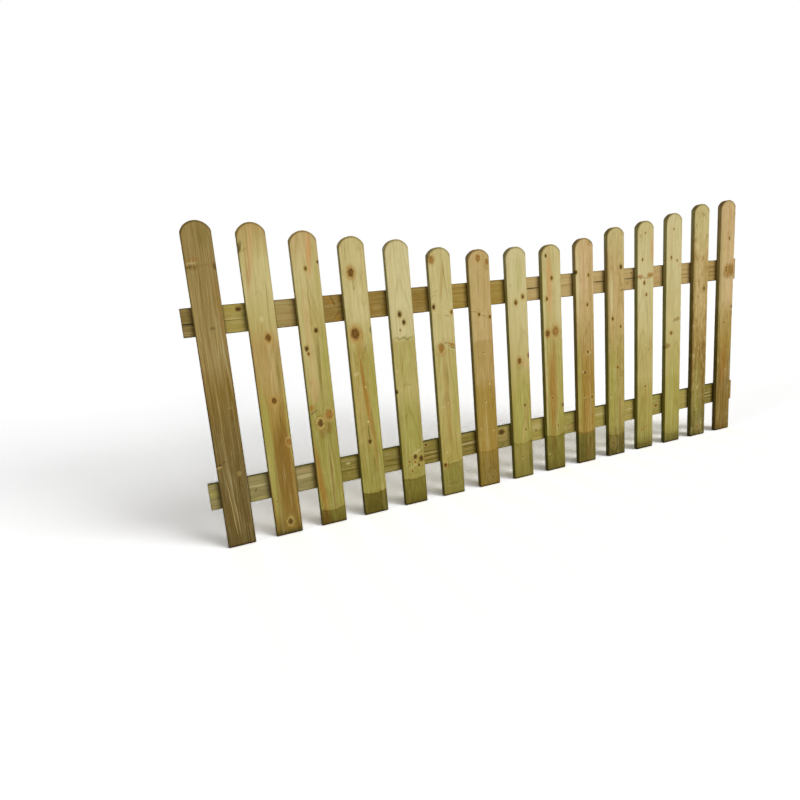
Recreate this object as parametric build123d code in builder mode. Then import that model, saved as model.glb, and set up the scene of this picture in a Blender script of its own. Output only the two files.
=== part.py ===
from build123d import *
import os

# Garden fence panel: upright pickets with rounded tops, nailed to the front of two rails.
# Sizes are in mm. X runs along the panel, the pickets face -Y and Z is up.
# The origin is on the flat back of the upper rail, at its mid-length and mid-height.

# rails
panel_length = 1830.0       # rail length, end to end
rail_height = 69.0
rail_thickness = 15.0
rail_arris = 3.0            # radius of the planed long edges
rail_end_wear = 1.0         # chamfer of the sawn ends
upper_rail_above_feet = 569.0   # rail centre line above the pickets' feet
lower_rail_above_feet = 137.5

# drying split in the left end of the upper rail
split_below_top = 38.0
split_width = 3.0           # its opening at the end, from where it tapers to nothing
split_length = 170.0
split_depth = 7.0

# pickets
picket_width = 69.0
picket_thickness = 15.0
picket_arris = 3.0          # radius of the planed long edges
foot_wear = 2.8             # chamfer of the sawn foot
crown_flattening = 2.5      # the rounded top's radius beyond half the width: no full half circle
shoulder_radius = 12.0      # where the rounded top runs into the sides
rail_end_past_picket = 26.0     # rail end beyond the outer edge of the end picket

# Cut lengths, from the middle picket outwards. Each is used on the left and on the right,
# and together they give the top line its dip.
cut_lengths = [692.0, 692.0, 704.0, 730.5, 744.5, 763.5, 788.0, 797.0]

picket_count = 2 * len(cut_lengths) - 1
middle = picket_count // 2
row_length = panel_length - 2 * rail_end_past_picket - picket_width
pitch = row_length / (picket_count - 1)

foot_z = -upper_rail_above_feet
rail_front_y = -rail_thickness

os.makedirs("parts", exist_ok=True)


def make_rail(name, centre_z, split):
    """A planed board lying on its edge, its flat back on Y = 0."""
    end_x = -panel_length / 2
    left_end = Plane(
        origin=(end_x, -rail_thickness / 2, centre_z), x_dir=(0, 1, 0), z_dir=(1, 0, 0)
    )
    front = Plane(origin=(end_x, rail_front_y, centre_z), x_dir=(1, 0, 0), z_dir=(0, -1, 0))
    with BuildPart() as rail:
        with BuildSketch(left_end):
            RectangleRounded(rail_thickness, rail_height, rail_arris)
        extrude(amount=panel_length)
        sawn_ends = rail.faces().filter_by(Axis.X)
        chamfer(sawn_ends.edges(), rail_end_wear)
        if split:
            split_z = rail_height / 2 - split_below_top
            with BuildSketch(front):
                with BuildLine():
                    Polyline(
                        (0, split_z + split_width / 2),
                        (0, split_z - split_width / 2),
                        (split_length, split_z),
                        close=True,
                    )
                make_face()
            extrude(amount=-split_depth, mode=Mode.SUBTRACT)
    rail.part.label = name
    export_step(rail.part, f"parts/{name}.step")


def make_picket(name, centre_x, length):
    """A planed board with a rounded top, its flat back on the rails' fronts."""
    half = picket_width / 2
    crown_radius = half + crown_flattening
    shoulder = length - crown_radius + (crown_radius ** 2 - half ** 2) ** 0.5
    foot = Plane.XY.offset(foot_z).shift_origin(
        (centre_x, rail_front_y - picket_thickness / 2, foot_z)
    )
    back = Plane(origin=(centre_x, rail_front_y, foot_z), x_dir=(1, 0, 0), z_dir=(0, -1, 0))
    with BuildPart() as picket:
        with BuildSketch(foot):
            RectangleRounded(picket_width, picket_thickness, picket_arris)
        extrude(amount=length)
        with BuildSketch(back) as outline:
            with BuildLine():
                Polyline((-half, shoulder), (-half, 0), (half, 0), (half, shoulder))
                ThreePointArc((half, shoulder), (0, length), (-half, shoulder))
            make_face()
            fillet(outline.vertices().group_by(Axis.Y)[-1], shoulder_radius)
        extrude(amount=picket_thickness, mode=Mode.INTERSECT)
        chamfer(picket.faces().sort_by(Axis.Z)[0].edges(), foot_wear)
    picket.part.label = name
    export_step(picket.part, f"parts/{name}.step")


make_rail("upper_rail", 0.0, split=True)
make_rail("lower_rail", lower_rail_above_feet - upper_rail_above_feet, split=False)

for index in range(picket_count):
    step = index - middle
    make_picket(f"picket_{index + 1:02d}", step * pitch, cut_lengths[abs(step)])
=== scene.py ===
from math import pi, radians

import bmesh
import bpy
from mathutils import Matrix, Vector


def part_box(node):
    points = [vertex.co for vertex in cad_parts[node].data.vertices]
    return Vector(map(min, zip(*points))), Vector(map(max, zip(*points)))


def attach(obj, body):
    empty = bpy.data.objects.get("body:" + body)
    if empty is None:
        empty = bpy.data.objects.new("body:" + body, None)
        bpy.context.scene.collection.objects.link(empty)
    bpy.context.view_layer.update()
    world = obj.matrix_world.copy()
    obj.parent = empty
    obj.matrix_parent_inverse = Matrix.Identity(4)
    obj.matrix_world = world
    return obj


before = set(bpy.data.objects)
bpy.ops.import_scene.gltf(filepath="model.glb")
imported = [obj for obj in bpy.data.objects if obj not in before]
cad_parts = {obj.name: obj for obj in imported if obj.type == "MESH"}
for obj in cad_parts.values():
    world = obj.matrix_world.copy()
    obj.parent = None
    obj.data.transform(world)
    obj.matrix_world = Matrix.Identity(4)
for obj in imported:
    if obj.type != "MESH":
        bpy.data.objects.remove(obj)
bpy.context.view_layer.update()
mm = 0.001
pickets = sorted(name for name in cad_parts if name.startswith("picket_"))
rails = ["upper_rail", "lower_rail"]
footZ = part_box(pickets[0])[0].z
pitch = (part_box(pickets[1])[0].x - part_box(pickets[0])[0].x) / mm
print("frame loaded:", len(pickets), "pickets,", len(rails), "rails")


def paint(red, green, blue, cover=1.0):
    # a colour as a screen shows it, 0 to 255, on the shader's own scale
    shares = [value / 255 for value in (red, green, blue)]
    shares = [s / 12.92 if s <= 0.04045 else ((s + 0.055) / 1.055) ** 2.4 for s in shares]
    return (*shares, cover)


class Wire:
    # one output of a shader node, so that patterns are written as sums and products
    def __init__(self, tree, socket=None):
        self.tree = tree
        self.socket = socket

    def node(self, kind, settings, inputs, output=0):
        made = self.tree.nodes.new(kind)
        for name, value in settings.items():
            if name == "stops":
                ramp = made.color_ramp
                while len(ramp.elements) < len(value):
                    ramp.elements.new(1.0)
                for element, (place, colour) in zip(ramp.elements, value):
                    element.position = place
                    element.color = colour
            else:
                setattr(made, name, value)
        for key, value in inputs.items():
            if isinstance(value, Wire):
                self.tree.links.new(value.socket, made.inputs[key])
            else:
                made.inputs[key].default_value = value
        return Wire(self.tree, made.outputs[output] if made.outputs else None)

    def other(self, output):
        return Wire(self.tree, self.socket.node.outputs[output])

    def maths(self, operation, *values):
        return self.node("ShaderNodeMath", {"operation": operation}, dict(enumerate(values)))

    def vector(self, operation, *values, output=0):
        settings = {"operation": operation}
        return self.node("ShaderNodeVectorMath", settings, dict(enumerate([self, *values])), output)

    def __add__(self, value):
        return self.maths("ADD", self, value)

    def __radd__(self, value):
        return self.maths("ADD", value, self)

    def __sub__(self, value):
        return self.maths("SUBTRACT", self, value)

    def __rsub__(self, value):
        return self.maths("SUBTRACT", value, self)

    def __mul__(self, value):
        return self.maths("MULTIPLY", self, value)

    def __rmul__(self, value):
        return self.maths("MULTIPLY", value, self)

    def __truediv__(self, value):
        return self.maths("DIVIDE", self, value)

    def __abs__(self):
        return self.maths("ABSOLUTE", self)

    def most(self, value):
        return self.maths("MAXIMUM", self, value)

    def length(self):
        return self.vector("LENGTH", output=1)

    def times(self, amount):
        return self.node("ShaderNodeVectorMath", {"operation": "SCALE"}, {0: self, 3: amount})

    def parts(self):
        first = self.node("ShaderNodeSeparateXYZ", {}, {0: self})
        return first, first.other(1), first.other(2)

    def step(self, start, end, low=0.0, high=1.0):
        # eased change from low to high while the value goes from start to end
        limits = {0: self, 1: start, 2: end, 3: low, 4: high}
        return self.node("ShaderNodeMapRange", {"interpolation_type": "SMOOTHSTEP"}, limits)

    def placed(self, scale, shift=(0, 0, 0)):
        return self.node("ShaderNodeMapping", {}, {0: self, 1: shift, 3: scale})

    def ramp(self, stops):
        return self.node("ShaderNodeValToRGB", {"stops": stops}, {0: self})

    def noise(self, detail=2.0, roughness=0.5, output=0):
        inputs = {"Vector": self, "Scale": 1.0, "Detail": detail, "Roughness": roughness}
        return self.node("ShaderNodeTexNoise", {}, inputs, output)

    def mix(self, first, second, kind="MIX"):
        # this wire is the share of the second colour
        settings = {"data_type": "RGBA", "blend_type": kind}
        return self.node("ShaderNodeMix", settings, {0: self, 6: first, 7: second}, 2)


def newFinish(name):
    material = bpy.data.materials.new(name)
    material.use_nodes = True
    material.node_tree.nodes.clear()
    return material, Wire(material.node_tree)


def closeFinish(start, shader):
    start.node("ShaderNodeOutputMaterial", {}, {"Surface": shader})


def placedPiece(name, made, material):
    mesh = bpy.data.meshes.new(name)
    made.to_mesh(mesh)
    made.free()
    mesh.materials.append(material)
    piece = bpy.data.objects.new(name, mesh)
    bpy.context.scene.collection.objects.link(piece)
    return piece


# tones of pressure-treated softwood, from the feet to the tops; their darkening toward the feet is partly
# the wetter wood's own and partly painted shade
tones = {
    "moss": paint(110, 99, 36),
    "peat": paint(112, 93, 46),
    "bracken": paint(125, 104, 52),
    "umber": paint(134, 108, 44),
    "olive": paint(135, 122, 50),
    "acorn": paint(150, 122, 55),
    "lichen": paint(148, 137, 88),
    "khaki": paint(153, 131, 76),
    "honey": paint(162, 134, 58),
    "sage": paint(158, 148, 72),
    "wheat": paint(179, 151, 89),
    "straw": paint(171, 155, 80),
    "hay": paint(187, 172, 106),
    "tan": paint(194, 167, 111),
    "cream": paint(201, 187, 129),
    "bone": paint(209, 197, 146),
    "biscuit": paint(205, 177, 127),
}

# stains that lie in the wood, under its grain
stains = {
    "lime": paint(170, 162, 82),
    "moss": paint(108, 101, 36),
    "olive": paint(134, 121, 52),
    "brown": paint(130, 97, 30),
    "dark": paint(90, 65, 18),
    # the next tint is painted shade inside the drying checks
    "crack": paint(52, 38, 10),
    "rust": paint(162, 118, 42),
    "apricot": paint(202, 152, 92),
    "peach": paint(206, 166, 116),
    "tan": paint(194, 167, 108),
    "cream": paint(211, 198, 144),
}

# knots: rings outwards, each a share of the knot's radius and a colour, at times with what it
# covers of the wood
knotLooks = {
    "dark": [
        (0.0, 68, 49, 8), (0.7, 78, 57, 11), (1.0, 118, 92, 32, 0.9), (1.4, 170, 146, 76, 0.55),
        (2.4, 190, 166, 96, 0.0),
    ],
    "brown": [
        (0.0, 88, 60, 13), (0.55, 106, 75, 19), (0.95, 142, 107, 40, 0.9), (1.4, 184, 156, 84, 0.6),
        (2.4, 194, 168, 98, 0.0),
    ],
    "old": [
        (0.0, 126, 88, 28), (0.5, 108, 74, 19), (0.8, 88, 60, 12), (1.05, 152, 112, 48, 0.95),
        (1.5, 176, 136, 64, 0.6), (2.4, 186, 152, 82, 0.0),
    ],
    "orange": [
        (0.0, 142, 98, 38), (0.5, 170, 124, 56), (0.8, 108, 76, 26), (1.0, 176, 136, 70, 0.9),
        (1.25, 126, 94, 36, 0.8), (1.5, 192, 158, 90, 0.6), (2.4, 188, 156, 92, 0.0),
    ],
    "ring": [
        (0.0, 84, 62, 22), (0.7, 104, 78, 30), (1.0, 150, 120, 56), (1.25, 188, 165, 95, 0.9),
        (1.5, 180, 156, 84, 0.8), (1.7, 124, 98, 38, 0.75), (1.95, 160, 136, 62, 0.5),
        (2.4, 160, 138, 66, 0.0),
    ],
    "faint": [
        (0.0, 132, 104, 50, 0.7), (0.6, 150, 122, 64, 0.6), (0.95, 186, 164, 98, 0.6),
        (1.3, 130, 104, 48, 0.55), (1.6, 184, 164, 98, 0.4), (2.4, 176, 156, 86, 0.0),
    ],
    "fleck": [(0.0, 218, 205, 152, 0.95), (0.6, 212, 196, 140, 0.8), (1.4, 196, 176, 116, 0.0)],
}

# Every board below has these entries, in mm. Across is from the board's middle, to the right or up;
# along is from the foot, or on a rail from the panel's middle.
# tones: place along, tone. foot: height of the wetter foot zone, its strength. pith: place of the
# tree's middle across and behind the face. taper: how fast the tree narrows along the board.
# rings: width of a growth ring. grain: strength of the rings. bands: strength of the broad bands
# along the grain. mottle: strength of the small brown and pale patches.
# knots: across, along, radius, look.
# stains: across, along, half width, half length, lean in degrees, stain or tone, strength.
boards = {
    "picket_01": {
        "tones": [
            (0, "peat"), (120, "peat"), (300, "bracken"), (400, "umber"), (480, "khaki"), (790, "khaki"),
        ],
        "foot": (30, 0.15), "pith": (-95, 30), "taper": 0.012,
        "rings": 2.3, "grain": 1.3, "bands": 1.0, "mottle": 0.1,
        "knots": [(17, 190, 2.5, "faint")],
        "stains": [
            (8, 697, 1.4, 26, 88, "brown", 0.6), (32, 692, 6, 9, 0, "dark", 0.8),
            (6, 551, 3.6, 8, 84, "dark", 0.6), (17, 157, 3, 7, 84, "dark", 0.55),
            (-21, 250, 1.8, 180, 0, "dark", 0.55), (20, 320, 3.5, 55, 2, "dark", 0.35),
            (24, 80, 5, 70, -3, "dark", 0.35), (-12, 110, 1.2, 95, -3, "tan", 0.75),
            (-8, 330, 1.2, 130, 0, "tan", 0.35), (26, 620, 7, 45, 0, "rust", 0.25),
            (14, 762, 22, 30, 0, "olive", 0.35), (27, 430, 7, 60, 0, "brown", 0.4),
            (-20, 231, 6, 15, 72, "brown", 0.6), (-21, 222, 2.4, 18, 66, "dark", 0.95),
            (-28, 213, 2.6, 8, 66, "tan", 0.9), (-15, 711, 4, 19, 88, "rust", 0.55),
            (-20, 702, 2.4, 14, 87, "tan", 0.8), (-20, 692, 6, 14, 84, "brown", 0.85),
            (-24, 694, 2.5, 9, 80, "dark", 0.7), (-26, 500, 1.4, 140, 1, "tan", 0.5),
            (-30, 560, 1.2, 120, 1, "tan", 0.5), (-14, 620, 1.3, 70, 4, "tan", 0.4),
            (5, 620, 1.3, 70, 4, "tan", 0.35), (-2, 90, 1.2, 90, -2, "tan", 0.4),
            (-32, 640, 1.2, 60, 1, "tan", 0.5), (12, 520, 1.4, 90, 3, "tan", 0.4),
            (-16, 470, 1.2, 90, 0, "tan", 0.45), (-24, 350, 1.3, 90, 0, "tan", 0.4),
            (26, 520, 3, 60, 0, "dark", 0.3), (-8, 640, 2, 60, 3, "brown", 0.4),
            (20, 335, 2.5, 28, 0, "dark", 0.4), (17, 357, 1.2, 5, 85, "tan", 0.7),
            (28, 560, 5, 70, 2, "rust", 0.3),
        ],
    },
    "picket_02": {
        "tones": [
            (0, "peat"), (22, "umber"), (60, "acorn"), (120, "acorn"), (250, "acorn"), (300, "honey"),
            (420, "wheat"), (500, "wheat"), (560, "hay"), (640, "cream"), (700, "cream"), (785, "wheat"),
        ],
        "foot": (8, 0.5), "pith": (20, 52), "taper": 0.03,
        "rings": 3.4, "grain": 0.4, "bands": 0.8, "mottle": 0.1,
        "knots": [
            (-22, 96, 1.5, "dark"), (5, 35, 6.5, "ring"), (3, 358, 5.5, "old"), (9, 515, 6, "old"),
            (27, 247, 5, "orange"),
        ],
        "stains": [
            (-24, 230, 12, 190, 0, "lime", 0.85), (32, 300, 5, 140, 0, "lime", 0.7),
            (2, 20, 4, 22, 88, "rust", 0.5), (23, 435, 5, 65, 3, "olive", 0.6),
            (-31, 730, 5, 12, 20, "dark", 0.8), (-10, 705, 7, 90, 9, "peach", 0.75),
            (-1, 562, 5, 9, 0, "cream", 0.8), (18, 590, 1.5, 70, 2, "olive", 0.5),
            (6, 190, 22, 135, 2, "brown", 0.7), (8, 230, 9, 70, 2, "brown", 0.7),
            (20, 190, 7, 85, 0, "rust", 0.7), (19, 120, 2.2, 75, 0, "dark", 0.6),
            (17, 290, 1.8, 36, -10, "dark", 0.6), (8, 60, 20, 40, 0, "brown", 0.35),
            (-30, 735, 6, 14, 20, "dark", 0.6), (-21, 727, 2, 10, 60, "brown", 0.4),
            (-4, 624, 1.3, 9, 60, "olive", 0.3), (5, 620, 1.3, 10, -35, "olive", 0.3),
            (-18, 690, 8, 70, 4, "wheat", 0.5), (9, 150, 25, 145, 0, "brown", 0.48),
            (-12, 110, 11, 100, 0, "olive", 0.4), (0, 8, 34, 9, 0, "moss", 0.5),
        ],
    },
    "picket_03": {
        "tones": [
            (0, "olive"), (40, "sage"), (150, "sage"), (300, "sage"), (420, "hay"), (560, "hay"),
            (650, "cream"), (760, "tan"),
        ],
        "foot": (38, 0.85), "pith": (-12, 60), "taper": 0.03,
        "rings": 3.2, "grain": 0.4, "bands": 0.8, "mottle": 0.15,
        "knots": [
            (7.5, 520, 4.4, "dark"), (-21.5, 477, 4.4, "dark"), (-18, 463, 3.1, "brown"),
            (-1, 673, 3.8, "brown"), (31, 687, 2.5, "dark"), (-8, 281, 8, "ring"),
            (17, 300, 7.5, "orange"),
        ],
        "stains": [
            (-2, 150, 22, 110, 0, "lime", 0.85), (24, 420, 10, 110, 0, "lime", 0.75),
            (8, 290, 1.6, 42, -3, "dark", 0.6), (-27, 324, 8, 10, 60, "rust", 0.85),
            (-22, 312, 2.2, 12, 66, "dark", 0.75), (-15, 372, 15, 42, 0, "tan", 0.8),
            (6, 430, 4.5, 90, 2, "olive", 0.75), (26, 650, 6, 50, 0, "lime", 0.4),
            (-24, 120, 10, 120, -4, "rust", 0.85), (7, 130, 3.5, 110, 0, "brown", 0.75),
            (10, 268, 13, 22, 0, "brown", 0.6), (-4, 254, 8, 18, 0, "brown", 0.5),
            (-10, 690, 10, 60, 0, "cream", 0.4), (24, 640, 8, 100, 0, "hay", 0.6),
            (-2, 150, 28, 130, 0, "olive", 0.3), (10, 706, 7, 62, 5, "apricot", 0.9),
            (-22, 16, 15, 32, 0, "brown", 0.9), (-2, 560, 2.5, 95, 0, "rust", 0.5),
            (-14, 520, 7, 130, 0, "peach", 0.45),
        ],
    },
    "picket_04": {
        "tones": [
            (0, "olive"), (55, "olive"), (66, "sage"), (160, "sage"), (300, "straw"), (440, "straw"),
            (480, "hay"), (540, "cream"), (745, "cream"),
        ],
        "foot": (58, 1.0), "pith": (8, 52), "taper": 0.03,
        "rings": 3.0, "grain": 0.4, "bands": 0.8, "mottle": 0.25,
        "knots": [
            (-1, 207, 4.4, "dark"), (2, 357, 2.0, "fleck"), (0, 262, 2.4, "fleck"), (-12, 500, 10, "old"),
            (-8, 655, 7.5, "old"),
        ],
        "stains": [
            (0, 340, 6, 145, -4, "rust", 0.9), (-1, 234, 1.8, 32, -2, "dark", 0.75),
            (0, 570, 20, 55, 0, "cream", 0.5), (31, 505, 4, 9, 0, "dark", 0.7),
            (10, 455, 1.3, 36, 25, "olive", 0.7), (-20, 394, 6, 8, 70, "cream", 0.6),
            (6, 150, 1.6, 16, 0, "moss", 0.6), (24, 680, 2, 60, 0, "peach", 0.6),
            (-18, 290, 14, 150, 0, "tan", 0.3), (25, 310, 11, 190, 0, "lime", 0.8),
            (10, 240, 8, 120, -3, "rust", 0.5), (-6, 634, 1.8, 18, -3, "brown", 0.5),
            (-4, 616, 2.5, 5, 0, "brown", 0.6), (-2, 470, 9, 40, -6, "rust", 0.4),
            (-26, 520, 1.6, 30, 0, "brown", 0.4),
        ],
    },
    "picket_05": {
        "tones": [
            (0, "olive"), (40, "sage"), (84, "sage"), (250, "sage"), (330, "hay"), (462, "hay"),
            (478, "bone"), (728, "bone"),
        ],
        "foot": (73, 0.95), "pith": (4, 40), "taper": 0.05,
        "rings": 4.0, "grain": 0.4, "bands": 0.5, "mottle": 0.15,
        "knots": [
            (23.5, 130, 6.0, "dark"), (6, 138, 5.0, "dark"), (15, 112, 3.0, "dark"),
            (4, 123, 2.5, "brown"), (-6, 98, 2.5, "brown"), (-13, 127, 2.5, "brown"),
            (-8, 495, 1.8, "brown"), (-33, 330, 3.8, "dark"), (5, 515, 4.6, "dark"),
            (-5.5, 537, 5.0, "dark"),
        ],
        "stains": [
            (0, 230, 27, 100, 0, "lime", 0.6), (0, 473, 34, 3, 0, "olive", 0.75),
            (-19, 620, 9, 110, 0, "cream", 0.55), (-8, 346, 1.4, 9, 60, "olive", 0.6),
            (3, 346, 1.4, 9, -60, "olive", 0.6), (-9, 262, 1.4, 11, 35, "moss", 0.5),
            (5, 262, 1.4, 11, -35, "moss", 0.5), (12, 152, 4, 20, 60, "cream", 0.45),
            (0, 112, 1.6, 20, 80, "cream", 0.6), (-15, 116, 1.3, 14, 40, "brown", 0.5),
            (24, 124, 2.2, 9, 50, "dark", 0.8), (7, 133, 2, 8, 45, "dark", 0.8),
            (0, 92, 3, 26, 90, "olive", 0.5), (-24, 470, 5, 6, 0, "cream", 0.5),
            (-26, 385, 4, 5, 0, "cream", 0.5), (0, 400, 30, 75, 0, "lime", 0.45),
        ],
    },
    "picket_06": {
        "tones": [
            (0, "sage"), (92, "sage"), (110, "straw"), (300, "hay"), (424, "hay"), (442, "cream"),
            (700, "cream"),
        ],
        "foot": (95, 0.5), "pith": (-6, 44), "taper": 0.04,
        "rings": 3.6, "grain": 0.4, "bands": 0.5, "mottle": 0.2,
        "knots": [
            (-11, 433, 6.9, "orange"), (27, 528, 3.8, "brown"), (-26, 547, 4.4, "dark"),
            (-24, 94, 4.4, "brown"), (-17, 265, 1.6, "fleck"), (-1, 274, 1.6, "fleck"),
            (-15, 131, 1.6, "fleck"), (-24, 672, 6.0, "orange"),
        ],
        "stains": [
            (-3, 280, 9, 150, 0, "rust", 0.4), (2, 350, 3, 40, 0, "olive", 0.5),
            (24, 300, 9, 130, 0, "lime", 0.65), (22, 438, 4.5, 16, -58, "rust", 0.95),
            (22, 430, 1.5, 18, -60, "dark", 0.85), (0, 445, 1.4, 14, 76, "dark", 0.7),
            (28, 423, 1.8, 7, -60, "cream", 0.9), (12, 531, 2, 10, -70, "cream", 0.8),
            (14, 519, 1.4, 11, -66, "olive", 0.85), (-26, 575, 1.2, 10, 60, "brown", 0.5),
            (-20, 587, 1.2, 13, 60, "brown", 0.4), (-24, 581, 3, 10, 60, "cream", 0.5),
            (3, 610, 6, 55, 8, "wheat", 0.7), (13, 610, 2, 50, -6, "rust", 0.45),
            (10, 99, 1.6, 18, 88, "cream", 0.7), (-22, 93, 3, 13, 86, "rust", 0.8),
            (-26, 675, 7, 12, 0, "olive", 0.35), (-8, 420, 14, 8, 0, "rust", 0.4),
            (-14, 28, 3, 14, -72, "tan", 0.45), (12, 27, 3, 15, 72, "tan", 0.4),
            (-2, 36, 2.5, 16, 88, "brown", 0.6),
        ],
    },
    "picket_07": {
        "tones": [
            (0, "honey"), (110, "honey"), (290, "honey"), (330, "wheat"), (428, "wheat"), (442, "tan"),
            (690, "tan"),
        ],
        "foot": (107, 0.52), "pith": (35, 44), "taper": 0.03,
        "rings": 3.0, "grain": 0.4, "bands": 0.5, "mottle": 0.2,
        "knots": [
            (10, 27, 7.5, "faint"), (0, 259, 2.0, "fleck"), (4, 400, 2.0, "fleck"),
            (15, 310, 2.2, "fleck"), (-8, 513, 3.8, "brown"), (27, 503, 3.8, "brown"),
            (-2, 262, 1.5, "dark"), (2, 403, 1.5, "dark"), (-20, 180, 1.6, "fleck"),
            (22, 168, 1.6, "fleck"), (-2, 668, 5.5, "orange"), (26, 656, 4.6, "orange"),
        ],
        "stains": [
            (-21, 521, 1.4, 14, -75, "brown", 0.7), (4, 509, 1.4, 13, -75, "brown", 0.7),
            # the olive strip at -31 along the left edge is painted shade
            (20, 502, 1.4, 10, 80, "brown", 0.7), (-31, 300, 4, 280, 0, "olive", 0.4),
            (10, 27, 15, 15, 0, "olive", 0.35), (0, 434, 34, 2.5, 0, "brown", 0.3),
            (-6, 600, 5, 40, 0, "olive", 0.2), (26, 460, 8, 60, 0, "rust", 0.25),
            (-24, 610, 5, 60, 0, "hay", 0.5), (24, 640, 7, 12, 0, "olive", 0.35),
            (2, 26, 15, 14, 0, "tan", 0.3), (14, 570, 8, 50, 0, "wheat", 0.5),
            (0, 52, 34, 50, 0, "umber", 0.45),
        ],
    },
    "picket_08": {
        "tones": [
            (0, "sage"), (98, "straw"), (114, "sage"), (250, "straw"), (345, "hay"), (440, "cream"),
            (690, "bone"),
        ],
        "foot": (108, 0.55), "pith": (10, 48), "taper": 0.04,
        "rings": 3.4, "grain": 0.35, "bands": 0.5, "mottle": 0.1,
        "knots": [
            (-6, 535, 5.2, "brown"), (11.5, 151, 2.2, "dark"), (11.5, 227, 2.8, "dark"),
            (-3, 62, 2.0, "fleck"), (-5, 66, 1.6, "dark"), (18.5, 550, 4.8, "brown"),
            (-1.5, 363, 5.6, "old"), (32, 376, 4.6, "brown"),
        ],
        "stains": [
            (0, 210, 30, 125, 0, "lime", 0.85), (14, 200, 6, 26, 0, "brown", 0.3),
            (20, 351, 9, 12, 20, "peach", 0.6), (-1, 350, 12, 20, 0, "olive", 0.3),
            (26, 60, 8, 50, 0, "moss", 0.6), (5, 620, 5, 70, 1, "lime", 0.4),
            (-20, 600, 7, 90, 0, "cream", 0.45), (-22, 585, 5, 6, 60, "olive", 0.35),
            (28, 110, 7, 9, 0, "moss", 0.5), (13, 185, 5, 50, 5, "wheat", 0.7),
            (2, 140, 2.5, 24, 12, "peach", 0.5), (-1, 92, 4, 38, 12, "wheat", 0.5),
        ],
    },
    "picket_09": {
        "tones": [
            (0, "olive"), (40, "sage"), (98, "sage"), (112, "sage"), (300, "straw"), (440, "hay"),
            (560, "cream"), (690, "cream"),
        ],
        "foot": (110, 0.8), "pith": (-28, 40), "taper": 0.03,
        "rings": 3.0, "grain": 0.4, "bands": 0.6, "mottle": 0.2,
        "knots": [
            (9, 437, 8.8, "orange"), (-18.5, 536, 4.4, "brown"), (0, 595, 4.4, "brown"),
            (-18.5, 660, 3.1, "dark"), (-9, 233, 2.8, "brown"), (30, 206, 3.8, "dark"),
            (10, 142, 2.5, "brown"), (-25, 55, 2.4, "fleck"), (-19.5, 433, 6.4, "old"),
        ],
        "stains": [
            # the first stain, a cream strip along the left edge, is a painted highlight
            (-28, 400, 4, 300, 0, "cream", 0.65), (21, 570, 14, 120, 0, "cream", 0.6),
            (-4, 436, 3, 28, 88, "brown", 0.6), (28, 419, 5, 6, 0, "cream", 0.7),
            (-8, 100, 12, 6, 0, "rust", 0.4), (-7, 70, 14, 40, 0, "brown", 0.4),
            (24, 300, 12, 155, 0, "lime", 0.6), (-5, 260, 16, 170, 1, "rust", 0.75),
            (3, 290, 5, 140, 1, "rust", 0.6), (20, 500, 14, 60, 0, "bone", 0.5),
            (-9, 572, 10, 125, 0, "apricot", 0.8),
        ],
    },
    "picket_10": {
        "tones": [
            (0, "olive"), (90, "olive"), (104, "honey"), (300, "honey"), (400, "wheat"), (480, "tan"),
            (560, "biscuit"), (700, "biscuit"),
        ],
        "foot": (98, 0.6), "pith": (12, 46), "taper": 0.04,
        "rings": 3.2, "grain": 0.45, "bands": 0.6, "mottle": 0.25,
        "knots": [
            (9, 505, 3.8, "brown"), (15, 594, 3.8, "brown"), (22, 213, 3.8, "brown"),
            (-4, 295, 3.2, "dark"), (8, 359, 3.8, "brown"), (-31, 605, 3.8, "dark"),
            (27, 693, 3.1, "dark"), (-13, 297, 2.2, "fleck"), (18, 356, 2.2, "fleck"),
        ],
        "stains": [
            (-9, 190, 1.6, 100, 0, "brown", 0.7), (-2, 214, 1.6, 13, 82, "cream", 0.7),
            (-20, 48, 14, 50, 0, "moss", 0.7), (12, 68, 12, 18, 0, "brown", 0.7),
            (18, 380, 2.5, 90, 0, "brown", 0.4), (9, 498, 2.2, 9, 0, "tan", 0.5),
            (8, 260, 18, 150, 0, "rust", 0.4), (-27, 570, 7, 125, 0, "cream", 0.9),
            (-26, 270, 8, 165, 0, "lime", 0.75), (20, 540, 8, 110, 0, "honey", 0.5),
            (-12, 130, 2.5, 90, 0, "brown", 0.6), (20, 690, 10, 12, 0, "honey", 0.5),
            (8, 40, 20, 34, 0, "brown", 0.5),
        ],
    },
    "picket_11": {
        "tones": [
            (0, "moss"), (55, "moss"), (75, "olive"), (110, "sage"), (330, "straw"), (450, "tan"),
            (600, "tan"), (728, "cream"),
        ],
        "foot": (68, 0.6), "pith": (22, 40), "taper": 0.05,
        "rings": 3.4, "grain": 0.5, "bands": 0.7, "mottle": 0.35,
        "knots": [
            (20, 610, 5.0, "dark"), (18, 424, 3.5, "brown"), (-14, 451, 3.8, "dark"),
            (5, 294, 3.5, "brown"), (-22, 197, 2.0, "fleck"), (-13, 43, 8, "faint"),
        ],
        "stains": [
            (-14, 210, 13, 150, 0, "lime", 0.85), (20, 230, 12, 160, 0, "wheat", 0.5),
            (14, 140, 2.6, 78, 0, "brown", 0.65), (-7, 130, 2.6, 72, 0, "brown", 0.5),
            (14, 300, 1.4, 24, 12, "brown", 0.6), (28, 300, 1.4, 24, -12, "brown", 0.6),
            (21, 268, 5, 4, 0, "brown", 0.6), (26, 539, 1.8, 9, 76, "dark", 0.8),
            (20, 536, 2, 5, 40, "brown", 0.7), (-16, 520, 7, 62, 0, "cream", 0.8),
            # the first stain, a moss strip along the left edge, is painted shade
            (-31, 450, 4, 290, 0, "moss", 0.5), (10, 540, 14, 60, 0, "tan", 0.5),
            (-5, 590, 1.6, 32, -30, "brown", 0.4), (20, 40, 10, 16, 0, "brown", 0.4),
            (0, 14, 34, 14, 0, "moss", 0.5), (24, 280, 9, 70, 0, "wheat", 0.5),
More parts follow.
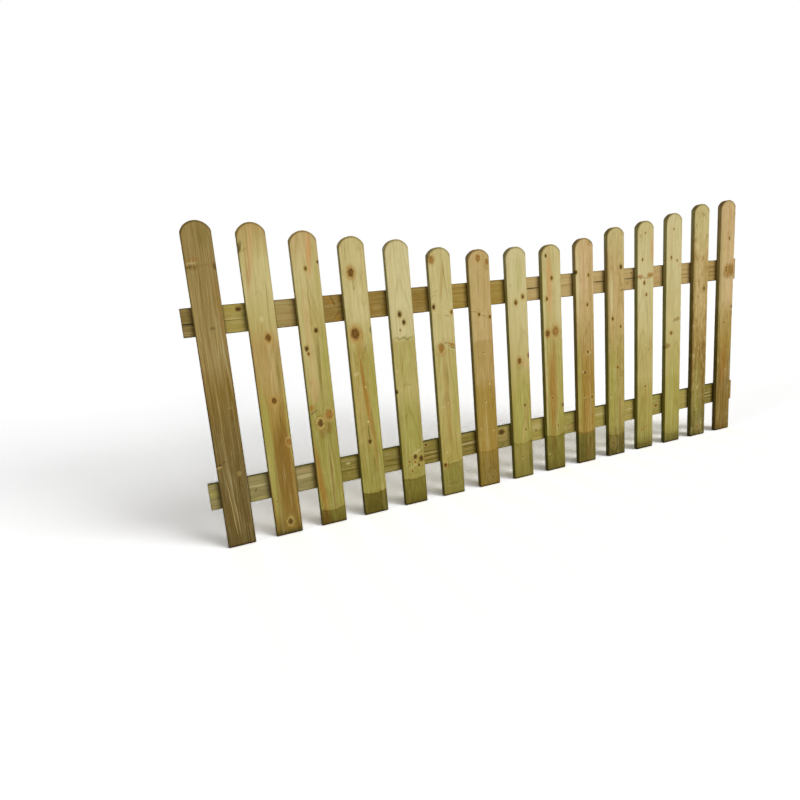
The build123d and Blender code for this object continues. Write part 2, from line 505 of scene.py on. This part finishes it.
            (-20, 545, 6, 60, 0, "cream", 0.6),
        ],
    },
    "picket_12": {
        "tones": [
            (0, "moss"), (50, "sage"), (200, "straw"), (250, "hay"), (330, "hay"), (347, "hay"),
            (400, "cream"), (560, "bone"), (600, "bone"), (742, "cream"),
        ],
        "foot": (16, 0.5), "pith": (-10, 46), "taper": 0.04,
        "rings": 3.4, "grain": 0.35, "bands": 0.45, "mottle": 0.15,
        "knots": [
            (-5, 553, 4.2, "brown"), (-2, 707, 2.0, "brown"), (0, 214, 3.0, "brown"),
            (2, 352, 2.4, "fleck"), (3, 515, 3.4, "brown"), (-13, 626, 3.0, "brown"),
            (-22, 699, 2.4, "faint"),
        ],
        "stains": [
            (-2, 72, 5, 22, 72, "rust", 0.7), (6, 180, 7, 28, 0, "rust", 0.35),
            (22, 331, 1.8, 9, -60, "cream", 0.95), (23, 350, 6, 36, 0, "wheat", 0.6),
            (27, 660, 6, 45, 0, "peach", 0.6), (14, 334, 4, 5, 0, "brown", 0.4),
            (-23, 573, 7, 13, 86, "rust", 0.85), (20, 576, 8, 16, 88, "rust", 0.9),
            (0, 568, 3, 30, 90, "brown", 0.5), (26, 640, 8, 60, 0, "apricot", 0.35),
        ],
    },
    "picket_13": {
        "tones": [
            (0, "moss"), (45, "sage"), (200, "straw"), (250, "hay"), (330, "hay"), (420, "cream"),
            (760, "bone"),
        ],
        "foot": (28, 0.35), "pith": (14, 50), "taper": 0.04,
        "rings": 3.2, "grain": 0.35, "bands": 0.45, "mottle": 0.15,
        "knots": [
            (-9, 379, 4.4, "brown"), (-2.5, 714, 2.2, "brown"), (-12.5, 625, 3.2, "brown"),
            (13, 614, 2.6, "brown"),
        ],
        "stains": [
            (0, 180, 30, 135, 0, "lime", 0.7), (-28, 340, 5, 7, 0, "brown", 0.6),
            (-9, 379, 2, 10, 70, "brown", 0.6), (-9, 379, 2, 8, -30, "brown", 0.5),
            (24, 600, 8, 10, 0, "peach", 0.6), (-10, 690, 3, 60, 3, "peach", 0.4),
            (-14, 618, 1.3, 7, 60, "brown", 0.6), (14, 422, 7, 18, 74, "brown", 0.65),
            (-26, 336, 8, 15, 78, "brown", 0.75), (-30, 345, 3, 6, 0, "dark", 0.4),
            (10, 650, 20, 100, 0, "cream", 0.5),
        ],
    },
    "picket_14": {
        "tones": [
            (0, "moss"), (45, "moss"), (130, "olive"), (300, "acorn"), (400, "wheat"), (480, "tan"),
            (620, "tan"), (700, "cream"), (785, "cream"),
        ],
        "foot": (18, 0.4), "pith": (-16, 44), "taper": 0.04,
        "rings": 3.0, "grain": 0.5, "bands": 0.7, "mottle": 0.8,
        "knots": [(0, 30, 8, "faint"), (16, 514, 5.2, "ring")],
        "stains": [
            # the first stain, a brown strip along the left edge, is painted shade
            (-30, 380, 5, 340, 0, "brown", 0.7), (-8, 150, 16, 140, 0, "sage", 0.6),
            (17, 190, 11, 130, 0, "brown", 0.6), (20, 70, 8, 24, 0, "moss", 0.8),
            (4, 634, 8, 14, 0, "cream", 0.55), (0, 574, 7, 10, 0, "cream", 0.45),
            (12, 330, 6, 50, 0, "acorn", 0.6), (-16, 440, 3, 20, 0, "cream", 0.4),
            (-18, 600, 3, 60, 0, "cream", 0.4), (20, 560, 10, 60, 0, "honey", 0.5),
            (20, 260, 8, 120, 0, "brown", 0.4), (-24, 560, 5, 150, 0, "lime", 0.4),
        ],
    },
    "picket_15": {
        "tones": [
            (0, "umber"), (100, "umber"), (230, "umber"), (320, "honey"), (420, "wheat"),
            (480, "biscuit"), (795, "biscuit"),
        ],
        "foot": (14, 0.4), "pith": (28, 48), "taper": 0.03,
        "rings": 3.0, "grain": 0.5, "bands": 0.7, "mottle": 0.4,
        "knots": [
            (8, 672, 3.8, "brown"), (-3, 575, 3.8, "brown"), (-3, 566, 3.8, "brown"),
            (-7, 389, 3.1, "brown"), (28, 441, 3.1, "dark"), (33, 752, 3.1, "dark"),
        ],
        "stains": [
            (-14, 565, 5, 20, 0, "rust", 0.35), (24, 594, 10, 12, 0, "peach", 0.7),
            (6, 130, 20, 90, 0, "brown", 0.4), (8, 733, 6, 50, 0, "apricot", 0.4),
            # the olive strip at -29 along the left edge is painted shade
            (-29, 400, 5, 390, 0, "olive", 0.6), (0, 12, 3, 30, 90, "rust", 0.6),
            (-2, 240, 22, 80, 0, "rust", 0.6), (-20, 560, 5, 200, 0, "lime", 0.35),
            (10, 566, 30, 26, 0, "rust", 0.85), (20, 566, 18, 24, 0, "brown", 0.5),
            (2, 552, 26, 14, 0, "brown", 0.35),
        ],
    },
    "upper_rail": {
        "tones": [
            (-915, "bracken"), (-880, "khaki"), (-850, "khaki"), (-800, "straw"), (-670, "khaki"),
            (-540, "acorn"), (-430, "acorn"), (-300, "acorn"), (-180, "honey"), (-30, "honey"),
            (40, "tan"), (560, "tan"), (680, "tan"), (790, "wheat"), (915, "wheat"),
        ],
        "foot": None, "pith": (-90, 30), "taper": 0.006,
        "rings": 3.0, "grain": 0.6, "bands": 0.6, "mottle": 0.2,
        "knots": [(21, -783, 4.4, "dark"), (-13, 428, 2.2, "brown"), (19, 442, 2.2, "brown")],
        "stains": [
            (0, -797, 1.4, 30, 0, "cream", 0.6), (22, -783, 4, 8, 0, "dark", 0.7),
            (-8, -430, 9, 14, 0, "tan", 0.3), (0, -300, 14, 24, 0, "brown", 0.35),
            (-6, 556, 10, 26, 0, "peach", 0.5), (12, 800, 5, 40, 0, "brown", 0.6),
            (-16, 800, 4, 40, 0, "brown", 0.5), (-2, 800, 1.6, 40, 0, "dark", 0.7),
            (12, 678, 2, 30, 0, "brown", 0.5), (-14, 678, 2, 30, 0, "brown", 0.6),
            (-2, 678, 1.4, 30, 0, "dark", 0.7), (1, 185, 1.2, 30, 0, "brown", 0.6),
            # the four dark crack lines here are painted shade inside the drying checks
            (-3.5, -885, 2.6, 46, 0, "crack", 1.0), (1.5, 62, 2.3, 32, 1, "crack", 0.95),
            (1.5, 312, 2.3, 32, 0, "crack", 0.9), (1.5, 434, 2.3, 32, 0, "crack", 0.9),
            (20, -556, 5, 17, -52, "rust", 0.9), (24, -548, 2.2, 14, -60, "dark", 0.6),
            (12, -545, 4, 7, -50, "dark", 0.9), (-16, -540, 3.5, 14, 45, "brown", 0.9),
            (-26, -536, 4, 12, 30, "rust", 0.8), (-2, -552, 24, 34, 0, "brown", 0.15),
            (0, -673, 30, 34, 0, "tan", 0.35),
        ],
    },
    "lower_rail": {
        "tones": [
            (-915, "lichen"), (-850, "lichen"), (-670, "lichen"), (-600, "olive"), (-540, "olive"),
            (-430, "olive"), (-340, "olive"), (-60, "olive"), (40, "straw"), (180, "sage"),
            (430, "straw"), (550, "sage"), (700, "straw"), (790, "olive"), (880, "honey"),
        ],
        "foot": None, "pith": (-60, 26), "taper": 0.008,
        "rings": 3.6, "grain": 0.7, "bands": 0.8, "mottle": 0.25,
        "knots": [
            (16, -66, 7.5, "dark"), (-1, 59, 2.2, "dark"), (-1, 551, 4.4, "brown"),
            (24, -318, 3.1, "dark"), (-12, 181, 6, "faint"), (-15, 204, 5, "faint"),
        ],
        "stains": [
            (8, -905, 10, 24, 0, "lime", 0.6), (-6, -900, 1.4, 18, 8, "dark", 0.7),
            (7, -797, 4, 32, 0, "cream", 0.55), (-4, -801, 1.8, 6, 50, "dark", 0.95),
            (-28, -795, 4, 30, 0, "lime", 0.6), (6, -673, 6, 32, 0, "cream", 0.6),
            (22, -673, 5, 30, 0, "peach", 0.35), (16, -552, 4, 7, 0, "cream", 0.6),
            (2, -552, 1.6, 28, 0, "cream", 0.4), (-4, -552, 2, 28, 0, "dark", 0.4),
            (0, -430, 1.8, 28, 4, "dark", 0.7), (-14, -430, 2, 28, -4, "dark", 0.6),
            (4, -305, 1.8, 32, 0, "dark", 0.85), (-1, -305, 1.8, 32, 0, "tan", 0.7),
            (-9, -305, 1.8, 32, 2, "dark", 0.85), (-14, -305, 2.2, 32, 2, "tan", 0.6),
            (-22, -305, 2, 32, 0, "dark", 0.7), (9, -183, 2, 32, 0, "dark", 0.75),
            (3, -183, 1.8, 32, 0, "tan", 0.6), (-4, -183, 1.8, 32, 2, "dark", 0.75),
            (-12, -183, 2.2, 32, 0, "tan", 0.5), (-20, -183, 2, 32, 0, "dark", 0.65),
            (-4, -62, 8, 26, 0, "tan", 0.55), (-20, -60, 1.6, 22, 30, "dark", 0.7),
            (-28, -60, 1.6, 22, 20, "dark", 0.6), (10, 62, 12, 24, 0, "cream", 0.4),
            (-18, 195, 10, 24, 0, "brown", 0.4), (8, 312, 4, 30, 0, "cream", 0.5),
            (5, 434, 2, 26, 0, "cream", 0.8), (-11, 434, 4, 26, 0, "brown", 0.35),
            (12, 795, 2, 24, 3, "dark", 0.5), (6, 795, 1.8, 24, 3, "cream", 0.6),
            (0, 795, 1.8, 24, 3, "dark", 0.5), (-6, 795, 1.8, 24, 3, "cream", 0.6),
            (-12, 795, 2, 24, 3, "dark", 0.5), (-4, 202, 4, 12, 40, "dark", 0.5),
            (-20, 190, 3, 12, -30, "moss", 0.6),
        ],
    },
}

# the same for every board: tints and relief
woodLook = {
    "lateWood": (0.64, 0.54, 0.38, 1),      # the dark line of a ring
    "fibre": (0.80, 0.75, 0.62, 1),         # the darkest fibres
    "darkBand": (0.80, 0.72, 0.54, 1),      # the broad dark bands
    "treatment": (0.95, 0.97, 0.88, 1),     # where the green treatment is strong
    "mottle": (0.60, 0.51, 0.34, 1),
    "sapDash": (0.45, 0.34, 0.20, 1),       # the short dark dashes of resin
    "side": (0.47, 0.50, 0.27, 1),          # painted shade on the planed sides of pickets and on the top and bottom faces of rails
    "edgeShade": (0.34, 0.29, 0.15, 1),         # painted shade on the rounded edges
    "jointShade": (0.38, 0.30, 0.16, 1),         # painted shade on a rail beside each picket
    "endGrain": (0.46, 0.40, 0.24, 1),      # the sawn ends
    "footWet": (0.52, 0.51, 0.30, 1),       # the wetter foot zone
    "tideLine": (0.72, 0.62, 0.44, 1),      # its upper edge
    "lowShade": (0.52, 0.51, 0.30, 1),      # painted shade on the lowest part, near the ground
    "footContactShade": (0.34, 0.29, 0.15, 1),        # painted contact shade along the foot
    "paleFibre": paint(226, 214, 164),
    "paleBand": paint(222, 210, 158),
    "paleMottle": paint(220, 204, 146),
    "relief": 0.5,          # strength of the raised grain
    "reliefHeight": 0.9 * mm,
    "raised": (0.5, 0.35, -0.35, -0.3),     # shares of fibres, hairs, dark ring lines and knots
    "roughness": 0.68,
    "rougher": (0.14, -0.14),       # what fibres and knots add to it
    "shine": 0.12,
    "boardShift": (53.0, 17.0, 911.0),      # between one board's patterns and the next one's
}

# Patterns in the wood: what they follow, repeats for each mm across and along, detail, roughness.
# A straight one follows the board, a swayed one wanders slowly and a bent one flows round knots.
patterns = {
    "drift": ("straight", 0.016, 0.004, 2.0, 0.5),
    "ragged": ("straight", 0.11, 0.02, 3.0, 0.6),
    "curl": ("straight", 0.28, 0.2, 3.0, 0.6),
    "cloud": ("straight", 0.022, 0.006, 3.0, 0.55),
    "patches": ("straight", 0.085, 0.03, 4.0, 0.65),
    "band": ("swayed", 0.1, 0.0028, 3.0, 0.55),
    "streak": ("bent", 0.23, 0.0035, 2.0, 0.55),
    "fibre": ("bent", 0.6, 0.009, 4.0, 0.65),
    "hair": ("bent", 2.6, 0.03, 2.0, 0.6),
    "dashes": ("bent", 0.8, 0.09, 1.0, 0.5),
}

# What the patterns lay over the tones, in this order: pattern, the value where it starts to show and
# the value where it is full, strength, tint, and which of the board's own strengths comes on top.
# A pale tint covers the wood and any other darkens it.
layersUnderRings = [
    ("cloud", 0.45, 0.75, 1.0, "treatment", None),
    ("band", 0.50, 0.78, 1.0, "darkBand", "bands"),
    ("band", 0.46, 0.22, 0.4, "paleBand", "bands"),
    ("streak", 0.52, 0.78, 0.75, "darkBand", None),
    ("streak", 0.46, 0.22, 0.30, "paleBand", None),
]
layersOverRings = [
    ("fibre", 0.45, 0.80, 1.0, "fibre", None),
    ("fibre", 0.50, 0.25, 0.28, "paleFibre", None),
    ("hair", 0.52, 0.85, 0.8, "fibre", None),
    ("patches", 0.52, 0.66, 1.0, "mottle", "mottle"),
    ("patches", 0.44, 0.34, 0.5, "paleMottle", "mottle"),
    ("dashes", 0.74, 0.80, 0.6, "sapDash", None),
]


def boardPlace(start, name):
    # mm across, behind the face and along the board
    low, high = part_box(name)
    x, y, z = start.node("ShaderNodeTexCoord", {}, {}, "Object").parts()
    upright = name in pickets
    across, along = (x, z) if upright else (z, x)
    middle = (low.x + high.x) / 2 if upright else (low.z + high.z) / 2
    first = footZ if upright else 0.0
    loose = start.node("ShaderNodeCombineXYZ", {}, {0: across, 1: y, 2: along})
    return loose.placed((1 / mm,) * 3, (-middle / mm, -low.y / mm, -first / mm))


def spot(wood, across, along, halfWidth, halfLength, lean=0.0):
    # distance from a place on the board, 1 at the rim of an ellipse round it, at any depth
    settings = {"vector_type": "TEXTURE"}
    size = (halfWidth, 1e6, halfLength)
    return wood.node("ShaderNodeMapping", settings, {
        0: wood, 1: (across, 0, along), 2: (0, radians(lean), 0), 3: size,
    })


def joined(shares, operation):
    total = shares[0]
    for share in shares[1:]:
        total = total.maths(operation, total, share)
    return total


def pattern(wood, name, seed, output=0):
    across, along, detail, roughness = patterns[name][1:]
    return wood.placed((across, across, along), seed).noise(detail, roughness, output)


def wander(wood, name, seed):
    # to and fro, by half of what it is multiplied by
    return pattern(wood, name, seed, "Color").vector("SUBTRACT", (0.5, 0.5, 0.5))


def laid(colour, layers, made, board):
    for name, starts, full, strength, tint, own in layers:
        cover = made[name].step(starts, full, 0.0, strength * (board[own] if own else 1.0))
        kind = "MIX" if tint.startswith("pale") else "MULTIPLY"
        colour = cover.mix(colour, woodLook[tint], kind)
    return colour


# a knot's shape, as shares of its radius
knotForm = {
    "ragged": (2.0, 0, 2.4),
    "tallness": 1.4,        # how much longer it is along the grain than across
    "reach": 2.4,           # how far its look runs out
    "push": 0.95,           # how far it pushes the grain aside
    "pushed": (0.8, 3.4, 1.0, 0.0),     # in full out to here, and not beyond here
    "smallest": 3.0,        # mm, a smaller knot leaves the grain straight
}


def knotPlaces(place, board, seed):
    # for each look the distances from its knots, and the grain that flows round them
    form = knotForm
    curl = wander(place, "curl", seed)
    distances = {}
    bent = place
    for across, along, radius, kind in board["knots"]:
        ragged = [radius * share for share in form["ragged"]]
        wobble = curl.vector("MULTIPLY_ADD", ragged, place)
        offset = spot(wobble, across, along, radius, radius * form["tallness"])
        away = offset.length()
        distances.setdefault(kind, []).append(away)
        if radius > form["smallest"] and kind != "fleck":
            pull = offset.times(away.step(*form["pushed"]))
            bent = pull.vector("MULTIPLY_ADD", (-form["push"] * radius, 0, 0), bent)
    return distances, bent


# growth rings
ringForm = {
    "sway": (28.0, 14.0, 0),    # how far they wander off their circles, mm across and behind
    "weakest": 0.15,            # a weak year's dark line, of the strongest one's
    # from a ring's pale spring wood to its dark summer wood, which ends at once
    "profile": ((0.0, 0.3), (0.12, 0.0), (0.45, 0.1), (0.86, 1.0), (1.0, 0.5)),
}


def growthRings(swayed, along, board):
    pithAcross, pithBehind = board["pith"]
    outward = swayed.placed((1, 1, 0), (-pithAcross, -pithBehind, 0)).length()
    turn = (outward + along * board["taper"]) / board["rings"]
    year = turn.maths("FLOOR", turn)
    weight = along.node("ShaderNodeTexWhiteNoise", {"noise_dimensions": "1D"}, {"W": year})
    stops = [(at, (dark, dark, dark, 1)) for at, dark in ringForm["profile"]]
    line = turn.maths("FRACT", turn).ramp(stops)
    return line * (weight * (1 - ringForm["weakest"]) + ringForm["weakest"])


# the edges of tones and stains
stainForm = {
    "ragged": (7.0, 0.0, 30.0),     # how far the edges of tones and short wide stains wander, mm
    "raggedWide": 0.7,      # how far those of long ones wander, of their half width
    "raggedLeast": 0.5,     # and added to it, mm
    "raggedMost": 7.0,
    "raggedAlong": 30.0,    # at most, along the board
    "rim": (1.25, 0.45),    # shares of its size where a stain starts and where it is full
}
allTints = {**tones, **stains}


def stained(colour, board, ragged, rough, bent):
    # short wide stains follow the ragged changes of tone, and long ones the grain
    form = stainForm
    covers = {}
    for across, along, halfWidth, halfLength, lean, stain, strength in board["stains"]:
        loosened = rough
        if halfWidth <= halfLength:
            sideways = min(form["raggedMost"], form["raggedLeast"] + halfWidth * form["raggedWide"])
            lengthways = min(form["raggedAlong"], halfLength)
            loosened = ragged.vector("MULTIPLY_ADD", (sideways, 0, lengthways), bent)
        away = spot(loosened, across, along, halfWidth, halfLength, lean).length()
        covers.setdefault(stain, []).append(away.step(*form["rim"], 0.0, strength))
    for stain, shares in covers.items():
        colour = joined(shares, "MAXIMUM").mix(colour, allTints[stain])
    return colour


# the wetter foot zone, in mm
tideForm = {
    "ragged": 12.0,
    "sag": -0.006,          # the edge hangs lower in the middle, by this times the square across
    "fade": 2.0,            # half the width of its edge
    "line": (4.0, 0.5),     # how far from the edge its line starts and is full
    "patchy": (0.38, 0.60, 0.85, 1.0),      # the wood's patches make it less wet here and there
}


def footZone(colour, board, ragged, across, along, patches):
    form = tideForm
    height, strength = board["foot"]
    tide = along + ragged.parts()[2] * form["ragged"] + across * across * form["sag"]
    wet = tide.step(height + form["fade"], height - form["fade"], 0.0, strength)
    wet = wet * patches.step(*form["patchy"])
    colour = wet.mix(colour, woodLook["footWet"], "MULTIPLY")
    line = abs(tide - height).step(*form["line"], 0.0, strength)
    return line.mix(colour, woodLook["tideLine"], "MULTIPLY")


# planed sides and rounded edges with painted shade, painted shade beside the pickets and near the ground,
# and the sawn ends, in mm
edgeForm = {
    "halfWidth": 34.5,
    "halfThickness": 7.5,
    "crownRadius": 37.0,
    "sideTurn": (0.5, 0.95),        # how far a face turns sideways where its painted shade starts and is full
    "endTurn": (0.25, 0.8),         # the same for the sawn ends
    "sideShadeHeights": (500, 700, 1.0, 0.6),    # over these heights the painted shade on the sides grows lighter
    "rim": (3.4, 0.2),      # how far in from the rim the painted edge shade starts and is full
    "rimRagged": 2.5,
    "face": (4.5, 0.5),     # the same from the two faces
    "strength": 0.85,
    "leftToRight": (-20, 20, 1.0, 0.6),     # the right edge gets less painted shade
    "lowPart": (420, 250),  # but not below these heights
    "jointShade": (6.0, 0.5),    # how far beside a picket the painted shade on a rail starts and is full
    "jointStrength": 0.75,
    "jointDepth": (3.0, 1.0),       # how deep behind the face it ends and is full
    "lowShadeHeights": (75.0, 5.0, 0.0, 0.36),       # painted shade near the ground: heights where it starts and is full, strengths there
    # painted contact shade along the foot: heights where it starts and is full, strengths there
    "footContactShade": (8.5, 3.5, 0.0, 0.95),
}


# painted shade on the sides, lighter higher up, and along the rounded edges, less on the right above the
# lower part
def shadedSidesAndEdges(colour, upright, length, ragged, across, behind, along, facing):
    form = edgeForm
    sideways = abs(facing[0 if upright else 2]).step(*form["sideTurn"])
    rim = abs(across)
    if upright:
        sideways = sideways * along.step(*form["sideShadeHeights"])
        crown = (along - (length - form["crownRadius"])).most(0.0)
        rim = across.node("ShaderNodeCombineXYZ", {}, {0: across, 2: crown}).length()
    colour = sideways.mix(colour, woodLook["side"], "MULTIPLY")
    limits = [form["halfWidth"] - inset for inset in form["rim"]]
    edgeShading = (rim + ragged.parts()[0] * form["rimRagged"]).step(*limits)
    limits = [form["halfThickness"] - inset for inset in form["face"]]
    nearFace = abs(behind - form["halfThickness"])
    edgeShading = edgeShading * nearFace.step(*limits, 0.0, form["strength"])
    low = along.step(*form["lowPart"]) if upright else 0.0
    edgeShading = edgeShading * across.step(*form["leftToRight"]).most(low)
    return edgeShading.mix(colour, woodLook["edgeShade"], "MULTIPLY")


def shadedJoints(colour, behind, along):
    # painted shade on a rail, beside each picket
    form = edgeForm
    turns = along / pitch + 0.5
    beside = abs(turns.maths("FRACT", turns) - 0.5) * pitch
    limits = [form["halfWidth"] + gap for gap in form["jointShade"]]
    jointShading = beside.step(*limits, 0.0, form["jointStrength"]) * behind.step(*form["jointDepth"])
    return jointShading.mix(colour, woodLook["jointShade"], "MULTIPLY")


def woodFinish(name, board, number):
    material, start = newFinish("treated_" + name)
    look = woodLook
    upright = name in pickets
    low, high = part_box(name)
    length = (high.z - low.z) / mm if upright else (high.x - low.x) / mm
    begin = 0 if upright else low.x / mm
    seed = tuple(shift * number for shift in look["boardShift"])

    # the places that the patterns follow
    place = boardPlace(start, name)
    across, behind, along = place.parts()
    distances, bent = knotPlaces(place, board, seed)
    drift = wander(place, "drift", seed)
    swayed = drift.vector("MULTIPLY_ADD", ringForm["sway"], place)
    ragged = wander(place, "ragged", seed)
    rough = ragged.vector("MULTIPLY_ADD", stainForm["ragged"], place)
    followed = {"straight": place, "swayed": swayed, "bent": bent}
    made = {
        kind: pattern(followed[patterns[kind][0]], kind, seed)
        for kind in ("cloud", "band", "streak", "fibre", "hair", "patches", "dashes")
    }

    # tones along the board, its stains and its grain
    stops = [((at - begin) / length, tones[tone]) for at, tone in board["tones"]]
    colour = ((rough.parts()[2] - begin) / length).ramp(stops)
    colour = stained(colour, board, ragged, rough, bent)
    colour = laid(colour, layersUnderRings, made, board)
    late = growthRings(drift.vector("MULTIPLY_ADD", ringForm["sway"], bent), along, board)
    colour = (late * board["grain"]).mix(colour, look["lateWood"], "MULTIPLY")
    colour = laid(colour, layersOverRings, made, board)

    # knots over them
    knotCover = None
    for kind, shares in distances.items():
        stops = [(share / knotForm["reach"], paint(*tint)) for share, *tint in knotLooks[kind]]
        core = (joined(shares, "MINIMUM") / knotForm["reach"]).ramp(stops)
        cover = core.other("Alpha")
        colour = cover.mix(colour, core)
        knotCover = cover if knotCover is None else knotCover.most(cover)

    # the wet foot zone, painted shade on sides, edges and rail joints, the sawn ends, and painted shade
    # near the ground
    if board["foot"]:
        colour = footZone(colour, board, ragged, across, along, made["patches"])
    facing = start.node("ShaderNodeNewGeometry", {}, {}, "Normal").parts()
    colour = shadedSidesAndEdges(colour, upright, length, ragged, across, behind, along, facing)
    if not upright:
        colour = shadedJoints(colour, behind, along)
    sawn = abs(facing[2 if upright else 0]).step(*edgeForm["endTurn"])
    colour = sawn.mix(colour, look["endGrain"], "MULTIPLY")
    if upright:
        # painted shade near the ground
        colour = along.step(*edgeForm["lowShadeHeights"]).mix(colour, look["lowShade"], "MULTIPLY")
        # painted contact shade along the foot
        colour = along.step(*edgeForm["footContactShade"]).mix(colour, look["footContactShade"], "MULTIPLY")

    # relief and gloss
    fibreHigh, hairHigh, ringHigh, knotHigh = look["raised"]
    fibreRough, knotRough = look["rougher"]
    raised = made["fibre"] * fibreHigh + made["hair"] * hairHigh + late * ringHigh
    gloss = made["fibre"] * fibreRough + look["roughness"]
    if knotCover is not None:
        raised = raised + knotCover * knotHigh
        gloss = gloss + knotCover * knotRough
    bump = start.node("ShaderNodeBump", {}, {
        "Strength": look["relief"], "Distance": look["reliefHeight"], "Height": raised,
    })
    closeFinish(start, start.node("ShaderNodeBsdfPrincipled", {}, {
        "Base Color": colour, "Roughness": gloss, "Normal": bump, "Specular IOR Level": look["shine"],
    }))
    return material


for number, (name, board) in enumerate(boards.items()):
    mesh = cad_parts[name].data
    mesh.materials.clear()
    mesh.materials.append(woodFinish(name, board, number))
print("wood finished:", len(boards), "boards")


# nails through the rails' backs into the pickets, two at each crossing
nails = {
    "headRadius": 3.2 * mm,
    "headFace": 2.752 * mm,     # radius of the head's flat
    "headThickness": 1.0 * mm,
    "proud": 0.3 * mm,
    "sideways": 15 * mm,
    "upAndDown": 17 * mm,
    "sides": 14,
    "zinc": (paint(122, 122, 118), paint(166, 166, 160)),
    "rust": paint(118, 82, 52),
    "spangle": 900,         # repeats for each metre
    "rustSpots": 260,
    "roughness": 0.42,
    "rustRougher": 0.3,
}


def nailFinish():
    material, start = newFinish("dull_zinc")
    place = start.node("ShaderNodeTexCoord", {}, {}, "Object")
    spangle = place.placed((nails["spangle"],) * 3).noise(3.0, 0.6)
    rust = place.placed((nails["rustSpots"],) * 3, (3, 7, 1)).noise(4.0, 0.7).step(0.56, 0.72)
    colour = rust.mix(spangle.mix(*nails["zinc"]), nails["rust"])
    roughness = rust * nails["rustRougher"] + nails["roughness"]
    inputs = {"Base Color": colour, "Metallic": 0.7, "Roughness": roughness}
    closeFinish(start, start.node("ShaderNodeBsdfPrincipled", {}, inputs))
    return material


def makeNails():
    made = bmesh.new()
    turned = Matrix.Rotation(radians(-90), 4, "X")      # wide ends on the wood, faces outwards
    for rail in rails:
        low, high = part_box(rail)
        railZ = (low.z + high.z) / 2
        for picket in pickets:
            left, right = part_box(picket)
            middle = (left.x + right.x) / 2
            for side in (-1, 1):
                spotOnBack = Vector((
                    middle + side * nails["sideways"],
                    high.y + nails["proud"] - nails["headThickness"] / 2,
                    railZ + side * nails["upAndDown"],
                ))
                bmesh.ops.create_cone(
                    made, cap_ends=True, segments=nails["sides"],
                    radius1=nails["headRadius"], radius2=nails["headFace"],
                    depth=nails["headThickness"], matrix=Matrix.Translation(spotOnBack) @ turned,
                )
    bmesh.ops.recalc_face_normals(made, faces=made.faces)
    return placedPiece("nail_heads", made, nailFinish())


nailHeads = makeNails()
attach(nailHeads, "root")
print("nail heads:", len(nailHeads.data.polygons), "faces")

# studio: broad suns from the front, a low one from behind and a little light from all round
studio = {
    "floorSize": 400.0,
    "floorShade": 0.45,     # how much light the floor throws back on the panel
    "floorSeen": 2.36,      # how light the floor looks to the camera, white where no shadow falls
    "ambient": 0.11,
    "lamps": {
        # turn to the right of the panel's front, rise above the floor, spread, strength
        "front": (0, 6, 18, 0.26),
        "left": (-80, 6, 20, 0.28),
        "low_key": (37, 13, 28, 0.48),
        "high_key": (35, 38, 40, 0.24),
        "back": (180, 2, 4, 0.45),      # so low that it leaves the floor as it is
    },
}


def cameraRays(start):
    rays = start.node("ShaderNodeLightPath", {}, {}, "Is Camera Ray")
    return rays.most(rays.other("Is Glossy Ray")).most(rays.other("Is Transmission Ray"))


def makeFloor():
    material, start = newFinish("studio_floor")
    shade = cameraRays(start) * (studio["floorSeen"] - studio["floorShade"]) + studio["floorShade"]
    closeFinish(start, start.node("ShaderNodeBsdfDiffuse", {}, {"Color": shade}))
    made = bmesh.new()
    bmesh.ops.create_grid(made, x_segments=1, y_segments=1, size=studio["floorSize"] / 2)
    bmesh.ops.translate(made, verts=made.verts, vec=(0, 0, footZ))
    floor = placedPiece("studio_floor", made, material)


def makeWorld():
    world = bpy.data.worlds.new("studio")
    bpy.context.scene.world = world
    world.use_nodes = True
    world.node_tree.nodes.clear()
    start = Wire(world.node_tree)
    strength = cameraRays(start) * (1 - studio["ambient"]) + studio["ambient"]
    back = start.node("ShaderNodeBackground", {}, {"Color": (1, 1, 1, 1), "Strength": strength})
    start.node("ShaderNodeOutputWorld", {}, {"Surface": back})


def makeLamp(name, turn, rise, spread, strength):
    lamp = bpy.data.lights.new(name, "SUN")
    lamp.angle = radians(spread)
    lamp.energy = strength * pi     # a strength of 1 shows a facing white surface as white
    holder = bpy.data.objects.new(name, lamp)
    bpy.context.scene.collection.objects.link(holder)
    holder.rotation_euler = (radians(90 - rise), 0, radians(turn))


makeFloor()
makeWorld()
for lampName, settings in studio["lamps"].items():
    makeLamp(lampName, *settings)

# the photograph's viewpoint, at the panel's left end and below its tops
view = {
    "place": (-0.95193, -1.43424, 0.05119),
    "turn": (78.239, 4.818, -22.747),
    "lens": 25.432,
    "sensor": 36.0,
}
camera = bpy.data.objects.new("camera", bpy.data.cameras.new("camera"))
bpy.context.scene.collection.objects.link(camera)
camera.location = view["place"]
camera.rotation_euler = [radians(angle) for angle in view["turn"]]
camera.data.lens = view["lens"]
camera.data.sensor_width = view["sensor"]
bpy.context.scene.camera = camera
bpy.context.scene.view_settings.view_transform = "Standard"
print("studio and camera ready")
